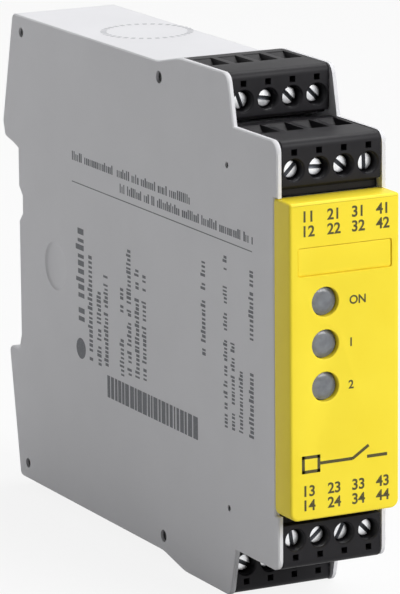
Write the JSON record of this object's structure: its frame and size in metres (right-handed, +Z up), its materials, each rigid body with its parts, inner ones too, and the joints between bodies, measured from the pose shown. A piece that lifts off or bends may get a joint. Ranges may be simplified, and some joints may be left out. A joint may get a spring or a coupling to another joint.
{
  "type": "safety relay",
  "caption": "Narrow rail-mounted safety relay: grey housing, yellow front cap with lamp windows, black plug-in screw terminals and a sprung rail foot.",
  "frame": {"origin": "middle of the housing's width and height on the face that seats on the 35 mm rail", "axes": "+X across the width to the right seen from the front, +Y from the front to the rail, +Z up"},
  "size_m": [0.0226, 0.1215, 0.099],
  "materials": {
    "housing_grey": "fine moulded texture",
    "cap_yellow": "satin",
    "tag_yellow": "satin",
    "guide_clear": "smoky clear",
    "board_green": "solder mask",
    "lamp_body": "diffusing",
    "relay_case": "smooth",
    "can": "satin",
    "chip_black": "matt",
    "terminal_black": "satin",
    "plated_steel": "zinc plated",
    "contact_tin": "tinned"
  },
  "bodies": {
    "housing": {"housing_shell": "housing_grey", "side_cover": "housing_grey", "front_cap": "cap_yellow", "marker_tag": "tag_yellow", "light_guide": "guide_clear", "main_board": "board_green", "status_leds": "lamp_body", "guided_relay_1": "relay_case", "guided_relay_2": "relay_case", "capacitor": "can", "logic_chips": "chip_black", "header_pins_upper": "contact_tin", "header_pins_lower": "contact_tin", "foot_spring": "plated_steel", "pin_header_upper_front": "terminal_black", "pin_header_upper_rear": "terminal_black", "pin_header_lower_front": "terminal_black", "pin_header_lower_rear": "terminal_black"},
    "foot": {"rail_foot": "terminal_black"},
    "plug_upper_front": {"terminal_block_upper_front": "terminal_black", "plug_contacts_upper_front": "contact_tin"},
    "screw_upper_front_1": {"clamp_screw_upper_front_1": "plated_steel"},
    "cage_upper_front_1": {"clamp_cage_upper_front_1": "plated_steel"},
    "screw_upper_front_2": {"clamp_screw_upper_front_2": "plated_steel"},
    "cage_upper_front_2": {"clamp_cage_upper_front_2": "plated_steel"},
    "screw_upper_front_3": {"clamp_screw_upper_front_3": "plated_steel"},
    "cage_upper_front_3": {"clamp_cage_upper_front_3": "plated_steel"},
    "screw_upper_front_4": {"clamp_screw_upper_front_4": "plated_steel"},
    "cage_upper_front_4": {"clamp_cage_upper_front_4": "plated_steel"},
    "plug_upper_rear": {"terminal_block_upper_rear": "terminal_black", "plug_contacts_upper_rear": "contact_tin"},
    "screw_upper_rear_1": {"clamp_screw_upper_rear_1": "plated_steel"},
    "cage_upper_rear_1": {"clamp_cage_upper_rear_1": "plated_steel"},
    "screw_upper_rear_2": {"clamp_screw_upper_rear_2": "plated_steel"},
    "cage_upper_rear_2": {"clamp_cage_upper_rear_2": "plated_steel"},
    "screw_upper_rear_3": {"clamp_screw_upper_rear_3": "plated_steel"},
    "cage_upper_rear_3": {"clamp_cage_upper_rear_3": "plated_steel"},
    "screw_upper_rear_4": {"clamp_screw_upper_rear_4": "plated_steel"},
    "cage_upper_rear_4": {"clamp_cage_upper_rear_4": "plated_steel"},
    "plug_lower_front": {"terminal_block_lower_front": "terminal_black", "plug_contacts_lower_front": "contact_tin"},
    "screw_lower_front_1": {"clamp_screw_lower_front_1": "plated_steel"},
    "cage_lower_front_1": {"clamp_cage_lower_front_1": "plated_steel"},
    "screw_lower_front_2": {"clamp_screw_lower_front_2": "plated_steel"},
    "cage_lower_front_2": {"clamp_cage_lower_front_2": "plated_steel"},
    "screw_lower_front_3": {"clamp_screw_lower_front_3": "plated_steel"},
    "cage_lower_front_3": {"clamp_cage_lower_front_3": "plated_steel"},
    "screw_lower_front_4": {"clamp_screw_lower_front_4": "plated_steel"},
    "cage_lower_front_4": {"clamp_cage_lower_front_4": "plated_steel"},
    "plug_lower_rear": {"terminal_block_lower_rear": "terminal_black", "plug_contacts_lower_rear": "contact_tin"},
    "screw_lower_rear_1": {"clamp_screw_lower_rear_1": "plated_steel"},
    "cage_lower_rear_1": {"clamp_cage_lower_rear_1": "plated_steel"},
    "screw_lower_rear_2": {"clamp_screw_lower_rear_2": "plated_steel"},
    "cage_lower_rear_2": {"clamp_cage_lower_rear_2": "plated_steel"},
    "screw_lower_rear_3": {"clamp_screw_lower_rear_3": "plated_steel"},
    "cage_lower_rear_3": {"clamp_cage_lower_rear_3": "plated_steel"},
    "screw_lower_rear_4": {"clamp_screw_lower_rear_4": "plated_steel"},
    "cage_lower_rear_4": {"clamp_cage_lower_rear_4": "plated_steel"}
  },
  "joints": [
    {"name": "foot_slide", "type": "slide", "parent": "housing", "child": "foot", "axis": [0, 0, -1], "range_m": [0, 0.0035], "stiffness_N_per_m": 2000, "springref_m": -0.002, "deforming": ["foot_spring"]},
    {"name": "plug_upper_front_slide", "type": "slide", "parent": "housing", "child": "plug_upper_front", "axis": [0, -1, 0], "range_m": [0, 0.035]},
    {"name": "screw_upper_front_1_turn", "type": "hinge", "parent": "plug_upper_front", "child": "screw_upper_front_1", "pos_m": [-0.00762, -0.1095, 0.0344], "axis": [0, 1, 0], "range_deg": [0, 1800]},
    {"name": "cage_upper_front_1_rise", "type": "slide", "parent": "plug_upper_front", "child": "cage_upper_front_1", "axis": [0, -1, 0], "range_m": [0, 0.0025]},
    {"name": "screw_upper_front_2_turn", "type": "hinge", "parent": "plug_upper_front", "child": "screw_upper_front_2", "pos_m": [-0.00254, -0.1095, 0.0344], "axis": [0, 1, 0], "range_deg": [0, 1800]},
    {"name": "cage_upper_front_2_rise", "type": "slide", "parent": "plug_upper_front", "child": "cage_upper_front_2", "axis": [0, -1, 0], "range_m": [0, 0.0025]},
    {"name": "screw_upper_front_3_turn", "type": "hinge", "parent": "plug_upper_front", "child": "screw_upper_front_3", "pos_m": [0.00254, -0.1095, 0.0344], "axis": [0, 1, 0], "range_deg": [0, 1800]},
    {"name": "cage_upper_front_3_rise", "type": "slide", "parent": "plug_upper_front", "child": "cage_upper_front_3", "axis": [0, -1, 0], "range_m": [0, 0.0025]},
    {"name": "screw_upper_front_4_turn", "type": "hinge", "parent": "plug_upper_front", "child": "screw_upper_front_4", "pos_m": [0.00762, -0.1095, 0.0344], "axis": [0, 1, 0], "range_deg": [0, 1800]},
    {"name": "cage_upper_front_4_rise", "type": "slide", "parent": "plug_upper_front", "child": "cage_upper_front_4", "axis": [0, -1, 0], "range_m": [0, 0.0025]},
    {"name": "plug_upper_rear_slide", "type": "slide", "parent": "housing", "child": "plug_upper_rear", "axis": [0, -1, 0], "range_m": [0, 0.055]},
    {"name": "screw_upper_rear_1_turn", "type": "hinge", "parent": "plug_upper_rear", "child": "screw_upper_rear_1", "pos_m": [-0.00762, -0.0902, 0.0439], "axis": [0, 1, 0], "range_deg": [0, 1800]},
    {"name": "cage_upper_rear_1_rise", "type": "slide", "parent": "plug_upper_rear", "child": "cage_upper_rear_1", "axis": [0, -1, 0], "range_m": [0, 0.0025]},
    {"name": "screw_upper_rear_2_turn", "type": "hinge", "parent": "plug_upper_rear", "child": "screw_upper_rear_2", "pos_m": [-0.00254, -0.0902, 0.0439], "axis": [0, 1, 0], "range_deg": [0, 1800]},
    {"name": "cage_upper_rear_2_rise", "type": "slide", "parent": "plug_upper_rear", "child": "cage_upper_rear_2", "axis": [0, -1, 0], "range_m": [0, 0.0025]},
    {"name": "screw_upper_rear_3_turn", "type": "hinge", "parent": "plug_upper_rear", "child": "screw_upper_rear_3", "pos_m": [0.00254, -0.0902, 0.0439], "axis": [0, 1, 0], "range_deg": [0, 1800]},
    {"name": "cage_upper_rear_3_rise", "type": "slide", "parent": "plug_upper_rear", "child": "cage_upper_rear_3", "axis": [0, -1, 0], "range_m": [0, 0.0025]},
    {"name": "screw_upper_rear_4_turn", "type": "hinge", "parent": "plug_upper_rear", "child": "screw_upper_rear_4", "pos_m": [0.00762, -0.0902, 0.0439], "axis": [0, 1, 0], "range_deg": [0, 1800]},
    {"name": "cage_upper_rear_4_rise", "type": "slide", "parent": "plug_upper_rear", "child": "cage_upper_rear_4", "axis": [0, -1, 0], "range_m": [0, 0.0025]},
    {"name": "plug_lower_front_slide", "type": "slide", "parent": "housing", "child": "plug_lower_front", "axis": [0, -1, 0], "range_m": [0, 0.035]},
    {"name": "screw_lower_front_1_turn", "type": "hinge", "parent": "plug_lower_front", "child": "screw_lower_front_1", "pos_m": [-0.00762, -0.1095, -0.0344], "axis": [0, 1, 0], "range_deg": [0, 1800]},
    {"name": "cage_lower_front_1_rise", "type": "slide", "parent": "plug_lower_front", "child": "cage_lower_front_1", "axis": [0, -1, 0], "range_m": [0, 0.0025]},
    {"name": "screw_lower_front_2_turn", "type": "hinge", "parent": "plug_lower_front", "child": "screw_lower_front_2", "pos_m": [-0.00254, -0.1095, -0.0344], "axis": [0, 1, 0], "range_deg": [0, 1800]},
    {"name": "cage_lower_front_2_rise", "type": "slide", "parent": "plug_lower_front", "child": "cage_lower_front_2", "axis": [0, -1, 0], "range_m": [0, 0.0025]},
    {"name": "screw_lower_front_3_turn", "type": "hinge", "parent": "plug_lower_front", "child": "screw_lower_front_3", "pos_m": [0.00254, -0.1095, -0.0344], "axis": [0, 1, 0], "range_deg": [0, 1800]},
    {"name": "cage_lower_front_3_rise", "type": "slide", "parent": "plug_lower_front", "child": "cage_lower_front_3", "axis": [0, -1, 0], "range_m": [0, 0.0025]},
    {"name": "screw_lower_front_4_turn", "type": "hinge", "parent": "plug_lower_front", "child": "screw_lower_front_4", "pos_m": [0.00762, -0.1095, -0.0344], "axis": [0, 1, 0], "range_deg": [0, 1800]},
    {"name": "cage_lower_front_4_rise", "type": "slide", "parent": "plug_lower_front", "child": "cage_lower_front_4", "axis": [0, -1, 0], "range_m": [0, 0.0025]},
    {"name": "plug_lower_rear_slide", "type": "slide", "parent": "housing", "child": "plug_lower_rear", "axis": [0, -1, 0], "range_m": [0, 0.055]},
    {"name": "screw_lower_rear_1_turn", "type": "hinge", "parent": "plug_lower_rear", "child": "screw_lower_rear_1", "pos_m": [-0.00762, -0.0902, -0.0439], "axis": [0, 1, 0], "range_deg": [0, 1800]},
    {"name": "cage_lower_rear_1_rise", "type": "slide", "parent": "plug_lower_rear", "child": "cage_lower_rear_1", "axis": [0, -1, 0], "range_m": [0, 0.0025]},
    {"name": "screw_lower_rear_2_turn", "type": "hinge", "parent": "plug_lower_rear", "child": "screw_lower_rear_2", "pos_m": [-0.00254, -0.0902, -0.0439], "axis": [0, 1, 0], "range_deg": [0, 1800]},
    {"name": "cage_lower_rear_2_rise", "type": "slide", "parent": "plug_lower_rear", "child": "cage_lower_rear_2", "axis": [0, -1, 0], "range_m": [0, 0.0025]},
    {"name": "screw_lower_rear_3_turn", "type": "hinge", "parent": "plug_lower_rear", "child": "screw_lower_rear_3", "pos_m": [0.00254, -0.0902, -0.0439], "axis": [0, 1, 0], "range_deg": [0, 1800]},
    {"name": "cage_lower_rear_3_rise", "type": "slide", "parent": "plug_lower_rear", "child": "cage_lower_rear_3", "axis": [0, -1, 0], "range_m": [0, 0.0025]},
    {"name": "screw_lower_rear_4_turn", "type": "hinge", "parent": "plug_lower_rear", "child": "screw_lower_rear_4", "pos_m": [0.00762, -0.0902, -0.0439], "axis": [0, 1, 0], "range_deg": [0, 1800]},
    {"name": "cage_lower_rear_4_rise", "type": "slide", "parent": "plug_lower_rear", "child": "cage_lower_rear_4", "axis": [0, -1, 0], "range_m": [0, 0.0025]}
  ],
  "couplings": [
    {"joint": "screw_upper_front_1_turn", "follows": "cage_upper_front_1_rise", "rad_per_m": 12566},
    {"joint": "screw_upper_front_2_turn", "follows": "cage_upper_front_2_rise", "rad_per_m": 12566},
    {"joint": "screw_upper_front_3_turn", "follows": "cage_upper_front_3_rise", "rad_per_m": 12566},
    {"joint": "screw_upper_front_4_turn", "follows": "cage_upper_front_4_rise", "rad_per_m": 12566},
    {"joint": "screw_upper_rear_1_turn", "follows": "cage_upper_rear_1_rise", "rad_per_m": 12566},
    {"joint": "screw_upper_rear_2_turn", "follows": "cage_upper_rear_2_rise", "rad_per_m": 12566},
    {"joint": "screw_upper_rear_3_turn", "follows": "cage_upper_rear_3_rise", "rad_per_m": 12566},
    {"joint": "screw_upper_rear_4_turn", "follows": "cage_upper_rear_4_rise", "rad_per_m": 12566},
    {"joint": "screw_lower_front_1_turn", "follows": "cage_lower_front_1_rise", "rad_per_m": 12566},
    {"joint": "screw_lower_front_2_turn", "follows": "cage_lower_front_2_rise", "rad_per_m": 12566},
    {"joint": "screw_lower_front_3_turn", "follows": "cage_lower_front_3_rise", "rad_per_m": 12566},
    {"joint": "screw_lower_front_4_turn", "follows": "cage_lower_front_4_rise", "rad_per_m": 12566},
    {"joint": "screw_lower_rear_1_turn", "follows": "cage_lower_rear_1_rise", "rad_per_m": 12566},
    {"joint": "screw_lower_rear_2_turn", "follows": "cage_lower_rear_2_rise", "rad_per_m": 12566},
    {"joint": "screw_lower_rear_3_turn", "follows": "cage_lower_rear_3_rise", "rad_per_m": 12566},
    {"joint": "screw_lower_rear_4_turn", "follows": "cage_lower_rear_4_rise", "rad_per_m": 12566}
  ]
}
